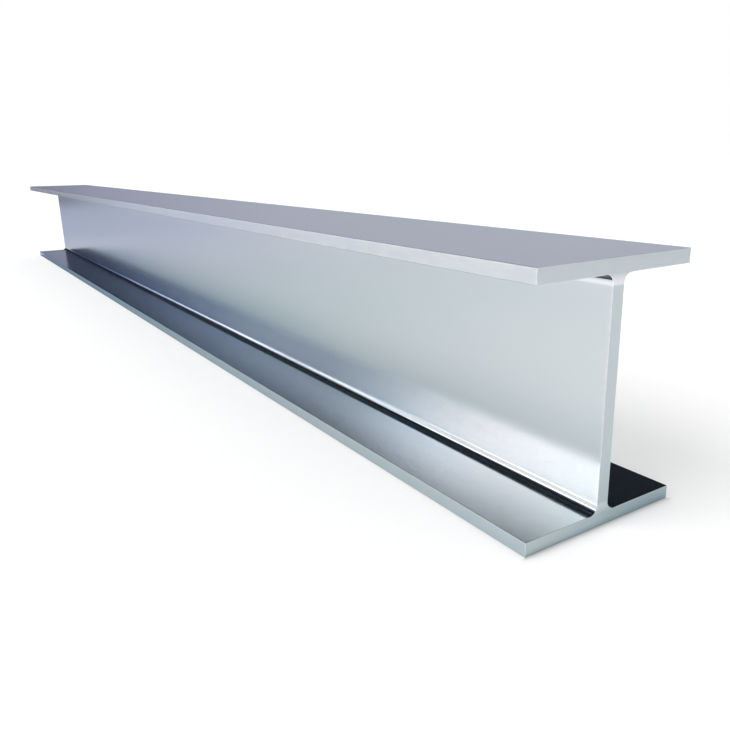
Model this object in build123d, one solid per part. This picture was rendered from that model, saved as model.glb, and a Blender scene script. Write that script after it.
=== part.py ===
from build123d import *
import os

# A rolled steel H-beam: two parallel flanges joined by a web, rolled as one piece and sawn square
# at both ends. All sizes are in millimetres.
# The origin lies on the floor under the middle of the beam. +X runs along the beam, +Y across its
# flanges and +Z up its web.

# The section
depth = 194.0
flange_width = 150.0
flange_thickness = 11.0
web_thickness = 11.0
root_radius = 7.0
toe_radius = 0.5

# The cut length, and the edge that deburring takes off each saw cut
length = 2000.0
deburred_edge = 0.4


def section_outline():
    """The H, centred on the middle of the web, with its root fillets and rounded flange toes."""
    # The web runs to the middle of each flange, so that it ends inside them.
    web = Rectangle(web_thickness, depth - flange_thickness)
    flange_middle = (depth - flange_thickness) / 2
    flanges = [
        Pos(0, side * flange_middle) * Rectangle(flange_width, flange_thickness)
        for side in (-1, 1)
    ]
    outline = web + flanges
    # Sorted across the section, the corners come as toes, roots, roots and toes.
    _, near_roots, far_roots, _ = outline.vertices().group_by(Axis.X)
    outline = fillet(near_roots + far_roots, root_radius)
    corners = outline.vertices().group_by(Axis.X)
    return fillet(corners[0] + corners[-1], toe_radius)


def rolled_beam():
    """The outline carried along the beam, with the edges of both saw cuts deburred."""
    sawn_end = Plane.YZ.offset(-length / 2)
    bar = extrude(sawn_end * Pos(0, depth / 2) * section_outline(), amount=length)
    sawn_ends = bar.faces().sort_by(Axis.X)
    return chamfer(sawn_ends[0].edges() + sawn_ends[-1].edges(), deburred_edge)


os.makedirs("parts", exist_ok=True)
h_beam = rolled_beam()
h_beam.label = "h_beam"
export_step(h_beam, "parts/h_beam.step")
print("h_beam", h_beam.bounding_box().size, "volume", round(h_beam.volume), "mm3")
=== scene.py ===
"""A rolled steel H-beam in a plain white studio.

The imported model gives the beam's place and outer size. The beam is made again here as one closed
skin with finely stepped fillets, so that its polished faces reflect without facets, and it is
dressed in two finishes: the rolled skin and the sawn ends.
"""

from __future__ import annotations

import logging
import math
from collections.abc import Sequence
from dataclasses import dataclass, field
from enum import Enum
from typing import Any

import bpy
import numpy as np
from mathutils import Matrix, Vector


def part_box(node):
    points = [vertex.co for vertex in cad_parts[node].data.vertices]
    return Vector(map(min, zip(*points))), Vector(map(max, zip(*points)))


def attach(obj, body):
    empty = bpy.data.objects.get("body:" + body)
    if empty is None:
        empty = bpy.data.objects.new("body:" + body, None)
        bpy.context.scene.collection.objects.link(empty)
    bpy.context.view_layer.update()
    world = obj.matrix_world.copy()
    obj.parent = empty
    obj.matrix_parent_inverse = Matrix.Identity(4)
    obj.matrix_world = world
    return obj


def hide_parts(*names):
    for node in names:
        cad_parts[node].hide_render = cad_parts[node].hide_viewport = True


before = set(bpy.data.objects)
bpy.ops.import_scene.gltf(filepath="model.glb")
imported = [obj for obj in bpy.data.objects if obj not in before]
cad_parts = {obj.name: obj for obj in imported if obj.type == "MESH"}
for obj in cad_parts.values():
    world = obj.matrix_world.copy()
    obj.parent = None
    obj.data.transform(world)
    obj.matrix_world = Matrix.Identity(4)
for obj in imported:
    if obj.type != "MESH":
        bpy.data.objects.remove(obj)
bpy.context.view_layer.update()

log = logging.getLogger("h_beam")

MM = 0.001

Colour = tuple[float, float, float]

WHITE: Colour = (1.0, 1.0, 1.0)
BLACK: Colour = (0.0, 0.0, 0.0)


# Shader values

class Value:
    """One number on its way through a shader, so that sums on it can be written as sums."""

    def __init__(self, graph: Graph, socket: bpy.types.NodeSocket | None) -> None:
        """Keeps the socket that the number comes out of, and the graph that it is in."""
        self.graph = graph
        self.socket = socket

    def math(self, operation: str, first: Any, second: Any = 0.0) -> Value:
        """One Math node on two numbers, either of which may be a plain Python number."""
        return self.graph.add("ShaderNodeMath", {"operation": operation}, {0: first, 1: second})

    def __add__(self, other: Any) -> Value:
        """This number and another, added."""
        return self.math("ADD", self, other)

    __radd__ = __add__

    def __sub__(self, other: Any) -> Value:
        """This number less another."""
        return self.math("SUBTRACT", self, other)

    def __rsub__(self, other: Any) -> Value:
        """Another number less this one."""
        return self.math("SUBTRACT", other, self)

    def __mul__(self, other: Any) -> Value:
        """This number times another."""
        return self.math("MULTIPLY", self, other)

    __rmul__ = __mul__

    def __truediv__(self, other: Any) -> Value:
        """This number over another."""
        return self.math("DIVIDE", self, other)

    def size(self) -> Value:
        """This number without its sign."""
        return self.math("ABSOLUTE", self)

    def root(self) -> Value:
        """Its square root."""
        return self.math("SQRT", self)

    def exponential(self, reach: float) -> Value:
        """1 where this number is 0, falling to 1/e where it is reach."""
        return self.math("EXPONENT", self / -reach)

    def larger(self, other: Any) -> Value:
        """The larger of this number and another."""
        return self.math("MAXIMUM", self, other)

    def between(self, low: float, high: float, start: float = 0.0, end: float = 1.0) -> Value:
        """This number taken smoothly from start to end as it goes from low to high.

        Args:
            low: Where the rise starts.
            high: Where it has ended.
            start: What comes out at low and below.
            end: What comes out at high and above.

        Returns:
            The number that it was taken to.
        """
        return self.graph.add(
            "ShaderNodeMapRange",
            {"interpolation_type": "SMOOTHSTEP"},
            {"Value": self, "From Min": low, "From Max": high, "To Min": start, "To Max": end},
        )


class Graph:
    """The node tree of one material or of the world."""

    # The colour sockets of a Mix node, by number because its other sockets have the same names
    MIX_FROM, MIX_TO, MIX_RESULT = 6, 7, 2

    # How much each finer layer of a noise adds to the one before
    NOISE_FALL = 0.55

    def __init__(self, tree: bpy.types.NodeTree) -> None:
        """Empties the tree, so that it holds only what is added here."""
        self.tree = tree
        tree.nodes.clear()

    def add(
        self,
        kind: str,
        settings: dict[str, Any] | None = None,
        inputs: dict[str | int, Any] | None = None,
        output: str | int = 0,
    ) -> Value:
        """Adds one node.

        Args:
            kind: The node's type.
            settings: Its properties, set before its sockets. "stops" fills a colour ramp.
            inputs: The value or the link of each socket that isn't left alone.
            output: Which of its outputs is wanted.

        Returns:
            The value that comes out of that output. An output node has none.
        """
        node = self.tree.nodes.new(kind)
        for name, setting in (settings or {}).items():
            if name == "stops":
                self._fill_ramp(node.color_ramp, setting)
            else:
                setattr(node, name, setting)
        for name, given in (inputs or {}).items():
            if isinstance(given, Value):
                self.tree.links.new(given.socket, node.inputs[name])
            else:
                node.inputs[name].default_value = given
        return Value(self, node.outputs[output] if node.outputs else None)

    @staticmethod
    def _fill_ramp(ramp: bpy.types.ColorRamp, stops: Sequence[tuple[float, Colour]]) -> None:
        """Gives a ramp its stops.

        Args:
            ramp: The ramp, which starts with one stop or two.
            stops: The place of each stop, from 0 to 1, and its colour.
        """
        while len(ramp.elements) < len(stops):
            ramp.elements.new(1.0)
        for element, (place, colour) in zip(ramp.elements, stops):
            element.position = place
            element.color = (*colour, 1.0)

    def mix(self, share: Any, first: Any, second: Any, blend: str = "MIX") -> Value:
        """Mixes two colours.

        Args:
            share: How much of the second colour shows, from 0 to 1.
            first: The colour at a share of 0.
            second: The colour that is laid over it.
            blend: How it is laid over.

        Returns:
            The mixed colour.
        """
        first, second = (
            (*colour, 1.0) if isinstance(colour, tuple) else colour for colour in (first, second)
        )
        return self.add(
            "ShaderNodeMix",
            {"data_type": "RGBA", "blend_type": blend},
            {0: share, self.MIX_FROM: first, self.MIX_TO: second},
            self.MIX_RESULT,
        )

    def noise(self, place: Value, stretch: tuple[float, float, float], detail: float) -> Value:
        """A noise from 0 to 1.

        Args:
            place: The coordinates that it is read at.
            stretch: How many of its grains go into a metre along each axis.
            detail: How many times finer grain is laid over it.

        Returns:
            The noise.
        """
        placed = self.add("ShaderNodeMapping", None, {"Vector": place, "Scale": stretch})
        return self.add(
            "ShaderNodeTexNoise",
            {"noise_dimensions": "3D"},
            {"Vector": placed, "Scale": 1.0, "Detail": detail, "Roughness": self.NOISE_FALL},
        )

    def attribute(self, name: str) -> Value:
        """What a mesh says of each of its points, as one number."""
        return self.add("ShaderNodeAttribute", {"attribute_name": name}, None, "Fac")

    def part(self, vector: Value, axis: str) -> Value:
        """The X, Y or Z of a vector."""
        return self.add("ShaderNodeSeparateXYZ", None, {"Vector": vector}, axis)

    def ramp(
        self, place: Value, stops: Sequence[tuple[float, Any]], start: float, end: float
    ) -> Value:
        """Takes a colour from a row of stops.

        Args:
            place: Where in the row, from 0 at its start to 1 at its end.
            stops: Where each stop is, and the colour or the grey there.
            start: The row's start, in the stops' own measure.
            end: Its end.

        Returns:
            The colour at that place.
        """
        placed = [
            ((stop - start) / (end - start), tone if isinstance(tone, tuple) else (tone,) * 3)
            for stop, tone in stops
        ]
        return self.add("ShaderNodeValToRGB", {"stops": placed}, {"Fac": place}, "Color")

    def glow(self, share: Value, colour: Any, strength: float = 1.0) -> None:
        """Ends a material as one that glows by its share and is clear by the rest.

        Args:
            share: How much of the glow shows, from 0 to 1.
            colour: The colour of the glow.
            strength: How bright its white is.
        """
        light = self.add("ShaderNodeEmission", None, {"Color": colour, "Strength": strength})
        clear = self.add("ShaderNodeBsdfTransparent")
        both = self.add("ShaderNodeMixShader", None, {0: share, 1: clear, 2: light})
        self.dress(both)

    def dress(self, shader: Value) -> None:
        """Gives the material its surface."""
        self.add("ShaderNodeOutputMaterial", None, {"Surface": shader})

    def mirrored_and_seen(self) -> Value:
        """Tells the rays that show the backdrop: to the camera, in a gloss and through glass.

        Returns:
            1 for those rays and 0 for all others.
        """
        kinds = [
            self.add("ShaderNodeLightPath", None, None, f"Is {kind} Ray")
            for kind in ("Camera", "Glossy", "Transmission")
        ]
        return kinds[0].larger(kinds[1]).larger(kinds[2])


def new_material(name: str) -> tuple[bpy.types.Material, Graph]:
    """Makes a material with nothing in it.

    Args:
        name: The material's name.

    Returns:
        The material and its graph.
    """
    made = bpy.data.materials.new(name)
    made.use_nodes = True
    return made, Graph(made.node_tree)


# Finishes

class Axis(Enum):
    """The way that the marks of a finish run, as the number of grains to a metre on each axis."""

    ALONG = (1.5, 900.0, 900.0)
    ACROSS_END = (1.0, 25.0, 1400.0)


class Drift(Enum):
    """How a noise over the metal is spread: its grains to a metre on each axis, and its detail."""

    STREAKS = ((0.8, 60.0, 60.0), 2.0)
    CLOUDS = ((1.6, 7.0, 7.0), 3.0)
    WAVES = ((2.5, 12.0, 12.0), 0.0)
    RUBBING = ((40.0, 200.0, 200.0), 4.0)


@dataclass(frozen=True)
class Finish:
    """A bare metal surface, with a grain, slow changes of tone and edges worn bright.

    Attributes:
        name: The material's name.
        tones: The two colours that the metal drifts between, and the one of its worn edges.
        scale_and_root_shade: The colour laid in its roots, partly millscale and partly painted
            shade.
        burnish_and_highlight_colour: The brighter colour in its roots, partly the rolls'
            burnishing and partly a painted highlight.
        gloss: How much of its roughness the burnishing takes away.
        roughness: How rough it is at its smoothest and at its roughest.
        marks: The way that its grain runs.
        grain_depth: How deep the grain is, in metres.
        wave_depth: How far the surface rises and falls from flat over a hand's breadth, in metres.
        grain_detail: How many times finer grain is laid over the grain.
        tone_shares: How much the clouds and the streaks add to the drift of tone.
        tone_range: The drift at which the first tone ends and the second is reached.
        rubbed: The noise at which a worn edge starts to show bright and shows in full.
        scale_and_shade_cover: How much of the metal the millscale and painted shade cover, and how
            much more in a streak.
        rough_shares: How much the grain, the streaks and the clouds add to the roughness.
        rubbed_smooth: How much smoother the worn edges are.
    """

    name: str
    tones: tuple[Colour, Colour, Colour]
    scale_and_root_shade: Colour
    burnish_and_highlight_colour: Colour
    gloss: float
    roughness: tuple[float, float]
    marks: Axis
    grain_depth: float
    wave_depth: float
    grain_detail: float = 3.0
    tone_shares: tuple[float, float] = (0.7, 0.3)
    tone_range: tuple[float, float] = (0.3, 0.7)
    rubbed: tuple[float, float] = (0.35, 0.6)
    scale_and_shade_cover: tuple[float, float] = (0.65, 0.25)
    rough_shares: tuple[float, float, float] = (0.4, 0.35, 0.25)
    rubbed_smooth: float = 0.05

    def material(self) -> bpy.types.Material:
        """Makes the Blender material.

        The colour goes from tone to tone with the drift, and then the worn edges, the millscale
        with its painted shade and the burnishing with its painted highlight are laid over it. The
        roughness goes from smooth to rough with the grain, the streaks and the clouds.

        Returns:
            The material.
        """
        made, graph = new_material(self.name)
        place = graph.add("ShaderNodeTexCoord", None, None, "Object")
        grain = graph.noise(place, self.marks.value, self.grain_detail)
        streaks = graph.noise(place, *Drift.STREAKS.value)
        clouds = graph.noise(place, *Drift.CLOUDS.value)
        waves = graph.noise(place, *Drift.WAVES.value)
        worn = graph.attribute("wear")
        worn = worn * graph.noise(place, *Drift.RUBBING.value).between(*self.rubbed)
        burnish_and_highlight = graph.attribute("polish_and_highlight")

        of_clouds, of_streaks = self.tone_shares
        drift = (clouds * of_clouds + streaks * of_streaks).between(*self.tone_range)
        colour = graph.mix(drift, self.tones[0], self.tones[1])
        colour = graph.mix(worn, colour, self.tones[2])
        # Millscale and painted shade: the flange side of each root fillet and the flange beside it
        # are darkened.
        cover, more = self.scale_and_shade_cover
        covered = graph.attribute("scale_and_shade") * (cover + more * streaks)
        colour = graph.mix(covered, colour, self.scale_and_root_shade)
        # Burnishing and a painted highlight: the web side of each root fillet is brightened.
        colour = graph.mix(burnish_and_highlight, colour, self.burnish_and_highlight_colour)

        smooth, rough = self.roughness
        of_grain, of_streaks, of_clouds = self.rough_shares
        uneven = grain * of_grain + streaks * of_streaks + clouds * of_clouds
        roughness = smooth + (rough - smooth) * uneven
        height = waves * self.wave_depth + grain * self.grain_depth
        bump = graph.add(
            "ShaderNodeBump", None, {"Strength": 1.0, "Distance": 1.0, "Height": height}
        )
        shader = graph.add(
            "ShaderNodeBsdfPrincipled",
            None,
            {
                "Metallic": 1.0,
                "Base Color": colour,
                "Roughness": (roughness - worn * self.rubbed_smooth) * (1 - self.gloss * burnish_and_highlight),
                "Normal": bump,
            },
        )
        graph.dress(shader)
        return made


ROLLED_SKIN = Finish(
    name="rolled_skin",
    tones=((0.68, 0.72, 0.76), (0.72, 0.745, 0.77), (0.78, 0.8, 0.82)),
    scale_and_root_shade=(0.12, 0.15, 0.18),
    burnish_and_highlight_colour=(0.92, 0.94, 0.96),
    gloss=0.6,
    roughness=(0.15, 0.24),
    marks=Axis.ALONG,
    grain_depth=0.002 * MM,
    wave_depth=0.02 * MM,
)

SAWN_STEEL = Finish(
    name="sawn_steel",
    tones=((0.55, 0.6, 0.625), (0.575, 0.625, 0.65), (0.72, 0.75, 0.77)),
    scale_and_root_shade=(0.55, 0.6, 0.625),
    burnish_and_highlight_colour=(0.72, 0.75, 0.77),
    gloss=0.3,
    roughness=(0.24, 0.36),
    marks=Axis.ACROSS_END,
    grain_depth=0.006 * MM,
    wave_depth=0.0,
)


# The beam

# The axes of the section
ACROSS, UP = 0, 1

# The corners of an H-section: eight on its flanges and four in its roots
CORNERS = 12

# The two roots on the right, counted anticlockwise from 0 at the lower right toe
LOWER_ROOT, UPPER_ROOT = 2, 3


@dataclass
class Outline:
    """A closed outline round the section, anticlockwise seen from the +X end.

    Attributes:
        points: Its points, across and up, in metres.
        normals: The way that the surface faces at each.
        wear: How worn each is, from 0 to 1.
        scale_and_root_shade: How much dark millscale and painted shade each point has, from 0 to
            1.
        polish_and_highlight: How much burnishing and painted highlight each point has, from 0 to
            1.
    """

    points: np.ndarray
    normals: np.ndarray
    wear: np.ndarray
    scale_and_root_shade: np.ndarray
    polish_and_highlight: np.ndarray


@dataclass
class Marks:
    """What the corners of the section have, and how it spreads over the flats between them.

    Each corner is one arc of the outline, and the flat that follows it runs to the next corner.

    Attributes:
        radii: Each corner's radius, below 0 in a root.
        arc_normals: The way that the surface faces at each point of each arc.
        flat_normals: The way that each flat faces.
        spans: Each flat's length.
        from_start: How far along its flat each point of the flats is.
    """

    radii: np.ndarray
    arc_normals: np.ndarray
    flat_normals: np.ndarray
    spans: np.ndarray
    from_start: np.ndarray

    def spread(self, has: np.ndarray, reach: float) -> np.ndarray:
        """Spreads a mark over the flats, where it falls to 1/e within its reach of a corner.

        Args:
            has: How much of the mark each corner has.
            reach: How far the mark reaches.

        Returns:
            How much of it each point of each flat has.
        """
        behind = np.exp(-self.from_start / reach) * has[:, None]
        ahead = np.exp(-(self.spans[:, None] - self.from_start) / reach)
        return np.maximum(behind, ahead * np.roll(has, -1)[:, None])

    def wear(self, reach: float, toe_span: float, toe_wear: float) -> np.ndarray:
        """The wear of the outer corners, and of the toes, the short flats between two of them.

        Args:
            reach: How far a corner's wear reaches.
            toe_span: What only the toes are shorter than.
            toe_wear: How worn a toe is all over, from 0 to 1.

        Returns:
            How worn each point of each arc and of its flat is, from 0 to 1.
        """
        outer = (self.radii > 0).astype(float)
        on_arc = np.broadcast_to(outer[:, None], self.arc_normals.shape[:2])
        is_toe = (self.spans < toe_span) & (outer > 0) & (np.roll(outer, -1) > 0)
        on_flat = np.maximum(self.spread(outer, reach), is_toe[:, None] * toe_wear)
        return np.concatenate([on_arc, on_flat], axis=1)

    def in_roots(self, axis: int, reach: float) -> np.ndarray:
        """What a root has where it turns to face along one axis of the section.

        On the fillet it is the square of the normal's part along that axis, and it spreads over
        the flat that faces the same way.

        Args:
            axis: The axis of the section.
            reach: How far it reaches over that flat.

        Returns:
            How much of it each point of each arc and of its flat has, from 0 to 1.
        """
        root = (self.radii < 0).astype(float)
        on_arc = self.arc_normals[:, :, axis] ** 2 * root[:, None]
        on_flat = self.spread(root, reach) * np.abs(self.flat_normals[:, axis])[:, None]
        return np.concatenate([on_arc, on_flat], axis=1)


@dataclass
class Beam:
    """One length of rolled H-section, sawn square at both ends.

    Attributes:
        depth: Its height, over both flanges.
        width: The flanges' width.
        length: The cut length.
        flange: The flanges' thickness.
        web: The web's thickness.
        root_radius: The fillets between web and flanges.
        toe_radius: The rounding of the flanges' outer corners.
        edge_radius: The rounding that deburring leaves on the sawn edges.
        face_inset: How far inside the outline the sawn faces' own ring is.
        arc_steps: How many steps a quarter turn of the outline has.
        edge_steps: How many steps the rounding of the sawn edges has.
        wear_reach: How far the wear of an outer edge reaches.
        toe_wear: How worn the flanges' toes are, from 0 to 1.
        scale_and_shade_reach: How far the millscale and painted shade of a root reach over its
            flange.
        polish_and_highlight_reach: How far the burnishing and painted highlight of a root reach
            over its web.
        flat_loops: How far from both its ends a flat of the outline has points of its own.
        flat_steps: How many steps the rest of a flat has.
        end_loops: How far from the sawn edges the beam has rings of its own.
        shank_start: How far from them its evenly spaced rings start.
        shank_steps: How many steps they take from there to the middle of the beam.
    """

    depth: float
    width: float
    length: float
    flange: float = 11.0 * MM
    web: float = 11.0 * MM
    root_radius: float = 7.0 * MM
    toe_radius: float = 0.5 * MM
    edge_radius: float = 0.3 * MM
    face_inset: float = 0.45 * MM
    arc_steps: int = 16
    edge_steps: int = 4
    wear_reach: float = 1.2 * MM
    toe_wear: float = 0.35
    scale_and_shade_reach: float = 2.0 * MM
    polish_and_highlight_reach: float = 0.6 * MM
    flat_loops: tuple[float, ...] = (1.0 * MM, 2.2 * MM, 4.0 * MM)
    flat_steps: int = 7
    end_loops: tuple[float, ...] = (1.0 * MM, 2.2 * MM, 4.0 * MM, 8.0 * MM, 20.0 * MM)
    shank_start: float = 60.0 * MM
    shank_steps: int = 8

    def corners(self) -> tuple[np.ndarray, np.ndarray]:
        """The corners of the section before rounding, anticlockwise from the lower right toe.

        Returns:
            The corners, across and up, and the radius of each, below 0 where metal fills it.
        """
        half, web = self.width / 2, self.web / 2
        low, high = self.flange, self.depth - self.flange
        right = [(half, 0), (half, low), (web, low), (web, high), (half, high), (half, self.depth)]
        left = [(-across, up) for across, up in reversed(right)]
        toe, root = self.toe_radius, -self.root_radius
        radii = [toe, toe, root, root, toe, toe]
        return np.array(right + left), np.array(radii + radii[::-1])

    def outline(self) -> Outline:
        """Rounds the corners and divides the flats between them.

        A corner's arc has its centre one radius from both of its flats. It turns from the normal
        of the flat before to the normal of the flat after, and a point of it is the centre plus
        the radius times the normal, which for a root fillet is a radius below 0.

        Returns:
            The outline, each corner's arc followed by the points of its flat.
        """
        corners, radii = self.corners()
        ahead = np.roll(corners, -1, axis=0) - corners
        ahead /= np.linalg.norm(ahead, axis=1, keepdims=True)
        behind = np.roll(ahead, 1, axis=0)
        normal_behind = np.stack([behind[:, 1], -behind[:, 0]], axis=1)
        normal_ahead = np.stack([ahead[:, 1], -ahead[:, 0]], axis=1)
        centres = corners + (ahead - behind) * np.abs(radii)[:, None]
        turn = np.linspace(0, math.pi / 2, self.arc_steps + 1)[None, :, None]
        arc_normals = normal_behind[:, None] * np.cos(turn) + normal_ahead[:, None] * np.sin(turn)
        arcs = centres[:, None] + radii[:, None, None] * arc_normals

        starts = arcs[:, -1]
        ends = np.roll(arcs[:, 0], -1, axis=0)
        spans = np.linalg.norm(ends - starts, axis=1)
        near = np.array(self.flat_loops)
        middle = (spans[:, None] - 2 * near[-1]) * np.linspace(0, 1, self.flat_steps + 1)[1:-1]
        from_start = np.concatenate(
            [np.broadcast_to(near, (CORNERS, len(near))), near[-1] + middle,
             spans[:, None] - near[::-1]], axis=1)
        flats = starts[:, None] + ahead[:, None] * from_start[:, :, None]
        flat_normals = np.broadcast_to(normal_ahead[:, None], flats.shape)

        marks = Marks(radii, arc_normals, normal_ahead, spans, from_start)
        wear = marks.wear(self.wear_reach, 2 * self.flange, self.toe_wear)
        return Outline(
            points=np.concatenate([arcs, flats], axis=1).reshape(-1, 2),
            normals=np.concatenate([arc_normals, flat_normals], axis=1).reshape(-1, 2),
            wear=wear.reshape(-1),
            # The flange side of each root carries millscale and painted shade.
            scale_and_root_shade=marks.in_roots(UP, self.scale_and_shade_reach).reshape(-1),
            # The web side of each root carries burnishing and a painted highlight.
            polish_and_highlight=marks.in_roots(ACROSS, self.polish_and_highlight_reach).reshape(-1),
        )

    def stations(self) -> tuple[np.ndarray, np.ndarray, np.ndarray, np.ndarray]:
        """Where the outline stands along the beam, from the -X end to the +X end.

        The first and last rings lie on the sawn faces, and the next few round the sawn edges.

        Returns:
            The place of each ring along X, how far the outline is drawn in there, how far the
            surface has turned there from facing across to facing along X, in radians, and how
            worn it is there.
        """
        turn = np.linspace(math.pi / 2, 0, self.edge_steps + 1)
        edge = self.edge_radius * (1 - np.sin(turn))
        drawn = self.edge_radius * (1 - np.cos(turn))
        shank = np.linspace(self.shank_start, self.length / 2, self.shank_steps + 1)
        along = np.concatenate([self.end_loops, shank])
        flat = np.zeros(len(along))
        from_end = np.concatenate([[0.0], edge, self.edge_radius + along])
        drawn_in = np.concatenate([[self.face_inset], drawn, flat])
        turned = np.concatenate([[math.pi / 2], turn, flat])
        worn = np.concatenate([[0.0], np.ones(len(turn)), np.exp(-along / self.wear_reach)])

        # The two halves share the ring in the middle of the beam
        middle = self.length / 2
        from_end[-1] = middle
        place = np.concatenate([from_end - middle, (middle - from_end)[-2::-1]])
        turned = np.concatenate([-turned, turned[-2::-1]])
        drawn_in = np.concatenate([drawn_in, drawn_in[-2::-1]])
        worn = np.concatenate([worn, worn[-2::-1]])
        return place, drawn_in, turned, worn

    def skin(self, finishes: list[bpy.types.Material]) -> bpy.types.Object:
        """Carries the outline along the beam and closes both ends.

        A point of a ring is the outline's point, drawn in against its normal. Round a sawn edge
        the surface turns from facing across to facing along X, so its normal there is the
        outline's times the cosine of the turn, and the turn's sine along X.

        Args:
            finishes: The finish of the rolled skin and the finish of the sawn ends.

        Returns:
            The beam.
        """
        outline = self.outline()
        along, drawn, turned, worn = self.stations()
        rings, count = len(along), len(outline.points)
        flat = outline.points[None] - outline.normals[None] * drawn[:, None, None]
        across = np.broadcast_to(along[:, None, None], (rings, count, 1))
        vertices = np.concatenate([across, flat], axis=2).reshape(-1, 3)
        side = np.cos(turned)[:, None, None] * outline.normals[None]
        end = np.broadcast_to(np.sin(turned)[:, None, None], (rings, count, 1))
        normals = np.concatenate([end, side], axis=2).reshape(-1, 3)

        quads, caps = self.faces(rings, count)
        faces = quads.tolist() + caps
        mesh = bpy.data.meshes.new("rolled_beam")
        mesh.from_pydata(vertices.tolist(), [], faces)
        for finish in finishes:
            mesh.materials.append(finish)

        # The first and the last ring of faces lie on the sawn ends, and the caps come after them
        is_end = np.zeros(len(faces), dtype=np.int32)
        is_end[:count] = 1
        is_end[len(quads) - count:] = 1
        mesh.polygons.foreach_set("material_index", is_end)
        mesh.polygons.foreach_set("use_smooth", np.ones(len(faces), dtype=bool))

        wear = np.maximum(outline.wear[None], worn[:, None])
        wear[[0, -1]] = 0.0
        # The roots' millscale with its painted shade, and their burnishing with its painted
        # highlight.
        scale_and_root_shade = np.broadcast_to(outline.scale_and_root_shade, (rings, count))
        # Burnishing with a painted highlight along the web side of the roots.
        polish_and_highlight = np.broadcast_to(outline.polish_and_highlight, (rings, count))
        for name, values in (("wear", wear), ("scale_and_shade", scale_and_root_shade), ("polish_and_highlight", polish_and_highlight)):
            kept = mesh.attributes.new(name, "FLOAT", "POINT")
            kept.data.foreach_set("value", values.reshape(-1).astype(np.float32))

        of_corner = np.zeros(len(mesh.loops), dtype=np.int32)
        mesh.loops.foreach_get("vertex_index", of_corner)
        corner_normals = normals[of_corner]
        per_end = (len(mesh.loops) - quads.size) // 2
        corner_normals[quads.size:quads.size + per_end] = (1, 0, 0)
        corner_normals[quads.size + per_end:] = (-1, 0, 0)
        mesh.normals_split_custom_set(corner_normals.tolist())
        mesh.validate()
        beam = bpy.data.objects.new("rolled_beam", mesh)
        bpy.context.scene.collection.objects.link(beam)
        return beam

    def faces(self, rings: int, count: int) -> tuple[np.ndarray, list[list[int]]]:
        """The faces of the skin, each as its points' numbers.

        A face round the beam joins point i of a ring to point i + 1 and to the same two of the
        next ring, with the last point of a ring followed by its first.

        Args:
            rings: How many rings the skin has along the beam.
            count: How many points a ring has.

        Returns:
            The faces round the beam, ring by ring, and the caps of the +X end and the -X end.
        """
        ring, step = np.meshgrid(np.arange(rings - 1), np.arange(count), indexing="ij")
        first = ring * count + step
        after = ring * count + (step + 1) % count
        quads = np.stack([first, after, after + count, first + count], axis=-1).reshape(-1, 4)
        caps = self.caps(count)
        last_ring = (rings - 1) * count
        near_caps = [(np.array(cap) + last_ring).tolist() for cap in caps]
        return quads, near_caps + [cap[::-1] for cap in caps]

    def caps(self, count: int) -> list[list[int]]:
        """The faces that close one ring of the outline: two flanges and the web between them.

        The outline is the same on both sides, so the point across from point i is a fixed sum
        less i. Each flange is one flat face, and the web is a ladder of faces between the two.

        Args:
            count: How many points the outline has.

        Returns:
            The faces, anticlockwise seen from the +X end.
        """
        per_corner = count // CORNERS
        sum_across = (CORNERS - 1) * per_corner + self.arc_steps
        web_start = LOWER_ROOT * per_corner
        web_end = UPPER_ROOT * per_corner + self.arc_steps
        lower = [*range(sum_across - web_start, count), *range(web_start + 1)]
        upper = [*range(web_end, sum_across - web_end + 1)]
        near = np.arange(web_start, web_end)
        far = sum_across - near
        web = np.stack([near, near + 1, far - 1, far], axis=1).tolist()
        return [lower, *web, upper]


# The studio

# How many points a level sheet has each way
LEVEL_POINTS = 3


def soft_edges(across: Value, up: Value, soft: tuple[float, float]) -> Value:
    """Fades a sheet out at its edges.

    Args:
        across: Where on the sheet, from 0 to 1.
        up: The same, the other way.
        soft: How much of each way an edge fades over.

    Returns:
        1 inside the sheet, falling to 0 at its edges.
    """
    return (
        across.between(0.0, soft[0]) * across.between(1.0, 1 - soft[0])
        * up.between(0.0, soft[1]) * up.between(1.0, 1 - soft[1])
    )


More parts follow.
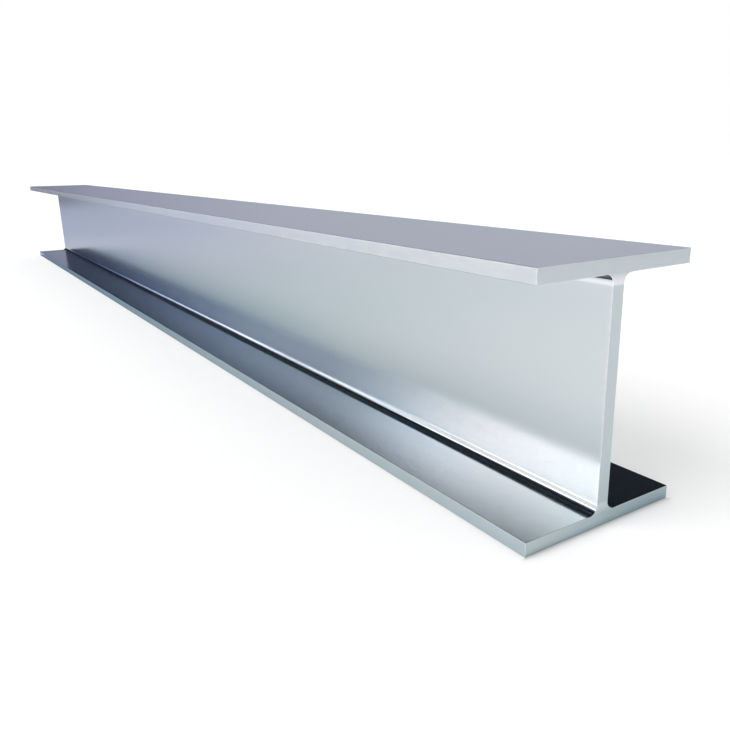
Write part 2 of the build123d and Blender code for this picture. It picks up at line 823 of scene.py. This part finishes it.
@dataclass(frozen=True)
class Panel:
    """A sheet of card or light round the beam, which only reflections show.

    Attributes:
        name: The panel's name.
        across: Its first and last bearing, in degrees anticlockwise from +X.
        up: Its lowest and highest edge, in degrees above the floor.
        colours: Its colours from its first bearing to its last.
        heights: What they are multiplied by from its lowest edge to its highest.
        strength: How bright its white is.
        soft: How much of its width and of its height its edges fade over.
        radius: How far off it is, in metres.
    """

    # How many points its sheet has across and up
    GRID = (33, 17)

    name: str
    across: tuple[float, float]
    up: tuple[float, float]
    colours: list[tuple[float, Colour]]
    heights: list[tuple[float, float | Colour]]
    strength: float
    soft: tuple[float, float]
    radius: float = 30.0

    def build(self) -> bpy.types.Object:
        """Makes the panel as a sheet with its light.

        Returns:
            The panel.
        """
        columns, rows = self.GRID
        across = np.linspace(*self.across, columns)[:, None]
        up = np.linspace(*self.up, rows)[None, :]
        return surface(self.name, self.points(across, up), self.material())

    def points(self, across: np.ndarray, up: np.ndarray) -> np.ndarray:
        """Turns bearings and heights into points of a sphere round the origin.

        A point's height is the radius times the sine of its height in degrees. Its place on the
        floor is the radius times the cosine of that, along its bearing.

        Args:
            across: The bearings, one row to each.
            up: The heights, one column to each.

        Returns:
            The grid of points, rows by columns by 3.
        """
        bearing, height = np.broadcast_arrays(np.radians(across), np.radians(up))
        return self.radius * np.stack(
            [np.cos(bearing) * np.cos(height), np.sin(bearing) * np.cos(height), np.sin(height)],
            axis=-1,
        )

    def material(self) -> bpy.types.Material:
        """Makes its light, which fades out at its edges.

        Returns:
            The material.
        """
        made, graph = new_material(self.name)
        place = graph.add("ShaderNodeUVMap", {"uv_map": "UVMap"})
        across, up = graph.part(place, "X"), graph.part(place, "Y")
        colour = graph.mix(
            1.0,
            graph.ramp(across, self.colours, *self.across),
            graph.ramp(up, self.heights, *self.up),
            "MULTIPLY",
        )
        graph.glow(soft_edges(across, up, self.soft), colour, self.strength)
        return made


@dataclass(frozen=True)
class Softbox(Panel):
    """A flat upright panel in front of the beam, measured in metres along X and up.

    Its radius is how far in front of the middle of the beam it stands.

    Attributes:
        crest: What its heights are multiplied by, at places along X.
    """

    crest: tuple[tuple[float, float], ...] = ((0.0, 1.0),)

    def points(self, across: np.ndarray, up: np.ndarray) -> np.ndarray:
        """Sets places along X and up at one distance in front of the beam, with its crest.

        Args:
            across: The places along X, one row to each.
            up: The heights, one column to each, before they are multiplied by the crest.

        Returns:
            The grid of points, rows by columns by 3.
        """
        along, height = np.broadcast_arrays(across, up)
        places, shares = zip(*self.crest)
        height = height * np.interp(along, places, shares)
        return np.stack([along, np.full_like(height, -self.radius), height], axis=-1)


@dataclass(frozen=True)
class FloorShade:
    """A tint over the floor, which only reflections show.

    Attributes:
        along: The tint by place along X, from past the beam's far end to past its near end.
        beside: How much darker the floor is beside the beam, by its far end and by its near end,
            and how far that reaches.
        beside_places: The places along X between which it goes from the one to the other.
        past_end: How much darker it is past the beam's ends, on the lit side and on the other,
            and how far that reaches.
        past_end_start: Over how much of the floor past an end that takes over.
        shadow: The tint of the floor where it is darker.
        aside: How far across the tint by place starts to fade to white, and where it has faded.
        fading_places: The places along X between which that fading changes.
        fading: How much of the tint it takes away at those places.
        far_off: How far across the distant tint starts, and where it is full.
        distant: The distant tint.
        reach: How far the floor goes on.
        height: How high over the floor the tint lies.
    """

    along: tuple[tuple[float, Colour], ...] = (
        (-4.4, (0.03, 0.04, 0.08)),
        (-3.3, (0.37, 0.4, 0.53)),
        (-1.6, (0.43, 0.47, 0.59)),
        (-0.9, (0.57, 0.6, 0.68)),
        (-0.3, (0.62, 0.66, 0.7)),
        (0.2, (0.71, 0.77, 0.77)),
        (0.6, (0.86, 0.88, 0.87)),
        (1.0, (0.97, 1.0, 0.98)),
        (1.2, (0.84, 0.86, 0.86)),
        (1.6, (1.0, 1.0, 1.0)),
    )
    beside: tuple[float, float, float] = (0.74, 0.36, 0.075)
    beside_places: tuple[float, float] = (-0.7, 1.15)
    past_end: tuple[float, float, float] = (0.2, 0.5, 0.04)
    past_end_start: float = 2.0 * MM
    shadow: Colour = (0.0, 0.2, 0.32)
    aside: tuple[float, float] = (0.55, 1.0)
    fading_places: tuple[float, float] = (-2.2, -0.4)
    fading: tuple[float, float] = (0.35, 0.8)
    far_off: tuple[float, float] = (1.3, 2.4)
    distant: Colour = (0.6, 0.64, 0.7)
    reach: float = 29.0
    height: float = 0.2 * MM

    def build(self, beam: Beam) -> bpy.types.Object:
        """Lays it on the floor.

        Args:
            beam: The beam on the floor.

        Returns:
            The sheet.
        """
        made, graph = new_material("floor_shade")
        along, across, past_end, away = beside_beam(graph, beam)
        half = beam.width / 2
        lit_side, far_side, end_reach = self.past_end
        dark_end = across.between(-half, half, lit_side, far_side) * away.exponential(end_reach)
        by_far, by_near, side_reach = self.beside
        dark_side = along.between(*self.beside_places, by_far, by_near)
        dark_side = dark_side * away.exponential(side_reach)
        is_end = past_end.between(0.0, self.past_end_start)
        dark = dark_side + (dark_end - dark_side) * is_end

        first, last = self.along[0][0], self.along[-1][0]
        tint = graph.ramp((along - first) / (last - first), self.along, first, last)
        off = across.size()
        faded = off.between(*self.aside) * along.between(*self.fading_places, *self.fading)
        tint = graph.mix(faded, tint, WHITE)
        tint = graph.mix(off.between(*self.far_off), tint, self.distant)
        tint = graph.mix(1.0, tint, graph.mix(dark, WHITE, self.shadow), "MULTIPLY")
        graph.dress(graph.add("ShaderNodeBsdfTransparent", None, {"Color": tint}))
        ends = (-self.reach, self.reach)
        return level_sheet("floor_shade", ends, ends, self.height, made)


@dataclass(frozen=True)
class Flag:
    """A level dark sheet beside the beam, painted shade which only reflections from below show.

    Attributes:
        name: The flag's name.
        along: Where along X it starts to show, shows in full, starts to fade and has faded.
        across: The same across.
        height: How high it hangs.
        colour: Its colour.
    """

    name: str
    along: tuple[float, float, float, float]
    across: tuple[float, float, float, float]
    height: float
    colour: Colour

    def build(self) -> bpy.types.Object:
        """Hangs it in its place.

        Returns:
            The sheet.
        """
        made, graph = new_material(self.name)
        place = graph.add("ShaderNodeTexCoord", None, None, "Object")
        share = graph.add("ShaderNodeNewGeometry", None, None, "Backfacing")
        for axis, (start, full, fading, end) in (("X", self.along), ("Y", self.across)):
            part = graph.part(place, axis)
            share = share * part.between(start, full) * part.between(end, fading)
        graph.glow(share, (*self.colour, 1.0))
        along, across = (self.along[0], self.along[-1]), (self.across[0], self.across[-1])
        return level_sheet(self.name, along, across, self.height, made)


def beside_beam(graph: Graph, beam: Beam) -> tuple[Value, Value, Value, Value]:
    """Where a point of the floor is.

    Args:
        graph: The material's graph.
        beam: The beam on the floor.

    Returns:
        The point's place along X, its place across, how far it lies past the beam's nearer end,
        and how far from the beam.
    """
    place = graph.add("ShaderNodeTexCoord", None, None, "Object")
    along, across = graph.part(place, "X"), graph.part(place, "Y")
    past_end = (along.size() - beam.length / 2).larger(0.0)
    past_side = (across.size() - beam.width / 2).larger(0.0)
    away = (past_end * past_end + past_side * past_side).root()
    return along, across, past_end, away


def level_sheet(
    name: str,
    along: tuple[float, float],
    across: tuple[float, float],
    height: float,
    material: bpy.types.Material,
) -> bpy.types.Object:
    """Makes a level sheet that faces up.

    Args:
        name: The object's name.
        along: Its first and last place along X.
        across: Its first and last place across.
        height: How high it lies.
        material: What it is dressed in.

    Returns:
        The sheet.
    """
    x, y = np.meshgrid(
        np.linspace(*along, LEVEL_POINTS), np.linspace(*across, LEVEL_POINTS), indexing="ij"
    )
    return surface(name, np.stack([x, y, np.full_like(x, height)], axis=-1), material)


def surface(name: str, points: np.ndarray, material: bpy.types.Material) -> bpy.types.Object:
    """Makes an open sheet from a grid of points.

    Args:
        name: The object's name.
        points: The grid, rows by columns by 3.
        material: What it is dressed in.

    Returns:
        The object, with a UV map that goes from 0 to 1 along the rows and along the columns.
    """
    rows, columns = points.shape[:2]
    row, column = np.meshgrid(np.arange(rows - 1), np.arange(columns - 1), indexing="ij")
    first = (row * columns + column).reshape(-1)
    quads = np.stack([first, first + columns, first + columns + 1, first + 1], axis=1)
    mesh = bpy.data.meshes.new(name)
    mesh.from_pydata(points.reshape(-1, 3).tolist(), [], quads.tolist())
    mesh.materials.append(material)
    place = np.stack([quads // columns / (rows - 1), quads % columns / (columns - 1)], axis=-1)
    mesh.uv_layers.new(name="UVMap").data.foreach_set("uv", place.reshape(-1).astype(np.float32))
    made = bpy.data.objects.new(name, mesh)
    bpy.context.scene.collection.objects.link(made)
    return made


@dataclass
class Studio:
    """The floor, the light and the camera.

    Attributes:
        floor_colour: The floor's own colour.
        floor_lift: How much light the floor gives off to the camera and in reflections.
        floor_reach: How far the floor goes on.
        floor_height: How high it lies, a hair below the beam's underside.
        contact_shade: How much painted shade darkens the floor in the line beside the beam and in
            the one past its ends, and how far that reaches.
        contact_shade_end: Over how much of the floor past an end the one gives way to the other.
        fill: How bright the world is to what it lights, where 1 is as bright as it looks.
        key: How bright the lamp makes a level white surface.
        key_bearing: Where the lamp is, in degrees anticlockwise from +X.
        key_height: How high it is, in degrees.
        key_spread: How wide it is, in degrees.
        camera_place: Where the camera is.
        yaw: How far it looks aside, in degrees from -X towards +Y.
        pitch: How far it looks down, in degrees.
        roll: How far it is turned about its own line of sight, in degrees.
        lens: Its focal length, in millimetres.
        shift: How far its picture is shifted sideways, as a share of its width.
        near_clip: How near to it the picture starts.
        shade: The tint over the floor.
        panels: The panels round the beam.
        flags: The flags over it.
    """

    floor_colour: Colour = (0.8, 0.8, 0.8)
    floor_lift: float = 0.28
    floor_reach: float = 80.0
    floor_height: float = -0.05 * MM
    contact_shade: tuple[float, float, float] = (0.15, 0.5, 2.3 * MM)
    contact_shade_end: float = 0.2 * MM
    fill: float = 0.7
    key: float = 0.32
    key_bearing: float = -100.0
    key_height: float = 42.0
    key_spread: float = 50.0
    camera_place: tuple[float, float, float] = (1.3008, -0.3784, 0.2571)
    yaw: float = 33.74
    pitch: float = 16.22
    roll: float = -0.82
    lens: float = 35.07
    shift: float = -0.04
    near_clip: float = 0.01
    shade: FloorShade = FloorShade()
    panels: list[Panel] = field(default_factory=list)
    flags: list[Flag] = field(default_factory=list)

    def lay_floor(self, beam: Beam) -> None:
        """A wide white floor that keeps the beam's shadow, with painted shade darkest in the line
        right beside it.

        Args:
            beam: The beam on the floor.
        """
        made, graph = new_material("studio_floor")
        _, _, past_end, away = beside_beam(graph, beam)
        # Painted shade: the floor darkens in a thin line round the beam's foot, most past its
        # ends.
        beside, beside_end, reach = self.contact_shade
        depth = beside + (beside_end - beside) * past_end.between(0.0, self.contact_shade_end)
        lit = 1.0 - depth * away.exponential(reach)
        colour = graph.mix(lit, BLACK, self.floor_colour)
        paint = graph.add("ShaderNodeBsdfDiffuse", None, {"Color": colour})
        lifted = graph.mirrored_and_seen() * lit * self.floor_lift
        lift = graph.add("ShaderNodeEmission", None, {"Strength": lifted})
        graph.dress(graph.add("ShaderNodeAddShader", None, {0: paint, 1: lift}))
        ends = (-self.floor_reach, self.floor_reach)
        level_sheet("studio_floor", ends, ends, self.floor_height, made)

    def light_world(self) -> None:
        """White for the camera and for reflections, and a soft fill for everything else."""
        world = bpy.data.worlds.new("studio")
        world.use_nodes = True
        bpy.context.scene.world = world
        graph = Graph(world.node_tree)
        strength = self.fill + (1 - self.fill) * graph.mirrored_and_seen()
        sky = graph.add(
            "ShaderNodeBackground", None, {"Color": (*WHITE, 1.0), "Strength": strength}
        )
        graph.add("ShaderNodeOutputWorld", None, {"Surface": sky})

    def hang_key(self) -> None:
        """A broad soft lamp far off in front of the beam, whose shadow falls behind it."""
        bearing, height = math.radians(self.key_bearing), math.radians(self.key_height)
        lamp = bpy.data.lights.new("key", "SUN")
        lamp.angle = math.radians(self.key_spread)
        lamp.energy = self.key * math.pi / math.sin(height)
        key = bpy.data.objects.new("key", lamp)
        bpy.context.scene.collection.objects.link(key)
        towards = Vector((math.cos(bearing), math.sin(bearing), math.tan(height)))
        key.rotation_euler = towards.to_track_quat("Z", "Y").to_euler()
        key.visible_glossy = False

    def set_panels(self, beam: Beam) -> None:
        """Puts everything round the beam that only reflections show.

        Args:
            beam: The beam on the floor.
        """
        shades = [panel.build() for panel in self.panels]
        shades.append(self.shade.build(beam))
        shades.extend(flag.build() for flag in self.flags)
        for shade in shades:
            shade.visible_camera = False
            shade.visible_diffuse = False
            shade.visible_shadow = False
            shade.visible_volume_scatter = False

    def set_camera(self) -> None:
        """Looks at the beam from beside its near end."""
        yaw, pitch, roll = (math.radians(angle) for angle in (self.yaw, self.pitch, self.roll))
        ahead = Vector(
            (-math.cos(yaw) * math.cos(pitch), math.sin(yaw) * math.cos(pitch), -math.sin(pitch))
        )
        level = Vector((math.sin(yaw), math.cos(yaw), 0.0))
        upright = level.cross(ahead)
        right = level * math.cos(roll) + upright * math.sin(roll)
        up = upright * math.cos(roll) - level * math.sin(roll)
        data = bpy.data.cameras.new("camera")
        data.lens = self.lens
        data.shift_x = self.shift
        data.clip_start = self.near_clip
        camera = bpy.data.objects.new("camera", data)
        bpy.context.scene.collection.objects.link(camera)
        camera.matrix_world = Matrix.Translation(self.camera_place) @ Matrix(
            (right, up, -ahead)
        ).transposed().to_4x4()
        bpy.context.scene.camera = camera


def panels() -> list[Panel]:
    """What the beam's faces mirror, besides the floor.

    Returns:
        The panels, those close in front of the beam first.
    """
    return [
        Softbox(
            name="side_sweep",
            across=(-11.0, 0.7),
            up=(0.65, 1.2),
            colours=[
                (-9.3, (0.001, 0.003, 0.014)), (-6.3, (0.002, 0.006, 0.03)),
                (-4.96, (0.018, 0.034, 0.092)), (-3.8, (0.066, 0.102, 0.185)),
                (-2.85, (0.148, 0.19, 0.27)), (-2.14, (0.154, 0.19, 0.24)),
                (-1.61, (0.165, 0.2, 0.225)), (-1.17, (0.37, 0.43, 0.475)),
                (-0.81, (0.63, 0.66, 0.665)), (-0.51, (0.82, 0.74, 0.7)),
                (-0.25, (0.95, 0.93, 0.88)), (-0.05, (0.97, 0.98, 0.93)),
            ],
            heights=[
                (0.77, (1.12, 1.04, 1.02)), (0.9, (0.93, 0.96, 0.98)), (0.994, (0.78, 0.87, 0.93)),
                (1.044, (0.52, 0.65, 0.74)), (1.077, (0.23, 0.35, 0.43)),
                (1.1, (0.08, 0.14, 0.19)), (1.13, (0.015, 0.025, 0.035)),
            ],
            strength=3.3,
            soft=(0.02, 0.09),
            radius=1.3,
            crest=(
                (-6.2, 0.82), (-5.0, 0.87), (-3.7, 0.92), (-2.8, 0.97), (-1.6, 1.05),
                (-1.15, 1.06), (-0.8, 0.99), (-0.5, 0.895), (-0.25, 0.834),
            ),
        ),
        Softbox(
            name="root_light",
            across=(-3.0, 0.6),
            up=(0.16, 0.49),
            colours=[
                (-2.6, (0.9, 0.95, 1.0)), (-1.2, (0.9, 0.92, 0.95)), (-0.8, (0.66, 0.68, 0.7)),
                (-0.5, (0.46, 0.46, 0.47)),
            ],
            heights=[(0.16, 1.0)],
            strength=1.8,
            soft=(0.2, 0.2),
            radius=1.28,
        ),
        Softbox(
            name="far_root_light",
            across=(-7.0, -1.6),
            up=(0.06, 0.31),
            colours=[
                (-6.5, (0.02, 0.04, 0.1)), (-5.2, (0.11, 0.16, 0.3)), (-4.2, (0.48, 0.58, 0.82)),
                (-3.2, (0.8, 0.9, 1.0)), (-2.4, (1.0, 1.0, 1.0)),
            ],
            heights=[(0.06, 1.0)],
            strength=2.3,
            soft=(0.2, 0.2),
            radius=1.28,
        ),
        Softbox(
            name="hood",
            across=(-1.55, 1.9),
            up=(0.238, 0.41),
            colours=[(-1.55, (0.42, 0.44, 0.52))],
            heights=[(0.238, 1.0)],
            strength=1.0,
            soft=(0.02, 0.06),
            radius=0.25,
        ),
        Panel(
            name="side_wall",
            across=(-180, -90),
            up=(-2, 88),
            colours=[
                (-170, (0.006, 0.01, 0.026)), (-150, (0.025, 0.035, 0.06)),
                (-135, (0.07, 0.09, 0.12)), (-112, (0.3, 0.32, 0.36)), (-96, (0.42, 0.45, 0.5)),
            ],
            heights=[(0, 1.0), (60, 0.8)],
            strength=1.0,
            soft=(0.01, 0.01),
        ),
        Panel(
            name="low_wall",
            across=(-156, -112),
            up=(-1, 9),
            colours=[(-140, (0.8, 0.82, 0.84))],
            heights=[(0, 1.0)],
            strength=1.0,
            soft=(0.3, 0.25),
            radius=29.0,
        ),
        Panel(
            name="back_sweep",
            across=(58, 186),
            up=(-1, 88),
            colours=[
                (132, (0.48, 0.5, 0.57)), (155, (0.45, 0.465, 0.545)), (168, (0.35, 0.36, 0.46)),
                (176, (0.16, 0.17, 0.25)),
            ],
            heights=[(10, 1.0), (40, 0.9)],
            strength=1.0,
            soft=(0.05, 0.01),
            radius=32.0,
        ),
        Panel(
            name="front_wall",
            across=(-102, 66),
            up=(-1, 88),
            colours=[
                (-98, (0.42, 0.45, 0.5)), (-50, (0.5, 0.52, 0.57)), (0, (0.4, 0.42, 0.47)),
                (50, (0.48, 0.5, 0.56)),
            ],
            heights=[(0, 1.0), (20, 0.8), (60, 0.65)],
            strength=1.0,
            soft=(0.01, 0.01),
            radius=34.0,
        ),
    ]


def flags() -> list[Flag]:
    """The sheets of painted shade that keep the root fillets and the flange behind the web dark,
    and the grey ceiling.

    Returns:
        The flags.
    """
    return [
        # Painted shade under the upper flange, which keeps the front root fillets dark.
        Flag(
            name="front_shade_flag",
            along=(-1.2, -1.1, 1.0, 1.05),
            across=(-0.17, -0.155, -0.01, -0.006),
            height=0.178,
            colour=(0.008, 0.015, 0.024),
        ),
        Flag(
            name="ceiling",
            along=(-7.0, -5.0, 5.0, 7.0),
            across=(-7.0, -5.0, 5.0, 7.0),
            height=10.0,
            colour=(0.5, 0.53, 0.59),
        ),
        # Painted shade behind the web, which keeps the flange there dark.
        Flag(
            name="back_shade_flag",
            along=(-0.25, 0.5, 1.0, 1.15),
            across=(0.006, 0.02, 0.6, 0.9),
            height=0.15,
            colour=(0.002, 0.006, 0.009),
        ),
    ]


def main() -> None:
    """Builds the beam and its studio."""
    logging.basicConfig(level=logging.INFO, format="%(name)s: %(message)s")
    scene = bpy.context.scene
    scene.view_settings.view_transform = "Standard"
    low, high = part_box("h_beam")
    beam = Beam(depth=high.z - low.z, width=high.y - low.y, length=high.x - low.x)
    skin = beam.skin([ROLLED_SKIN.material(), SAWN_STEEL.material()])
    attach(skin, "root")
    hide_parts("h_beam")
    log.info("rolled beam, %d faces", len(skin.data.polygons))

    studio = Studio(panels=panels(), flags=flags())
    studio.lay_floor(beam)
    studio.light_world()
    studio.hang_key()
    studio.set_panels(beam)
    studio.set_camera()
    log.info("studio, %d panels", len(studio.panels))


if __name__ == "__main__":
    main()
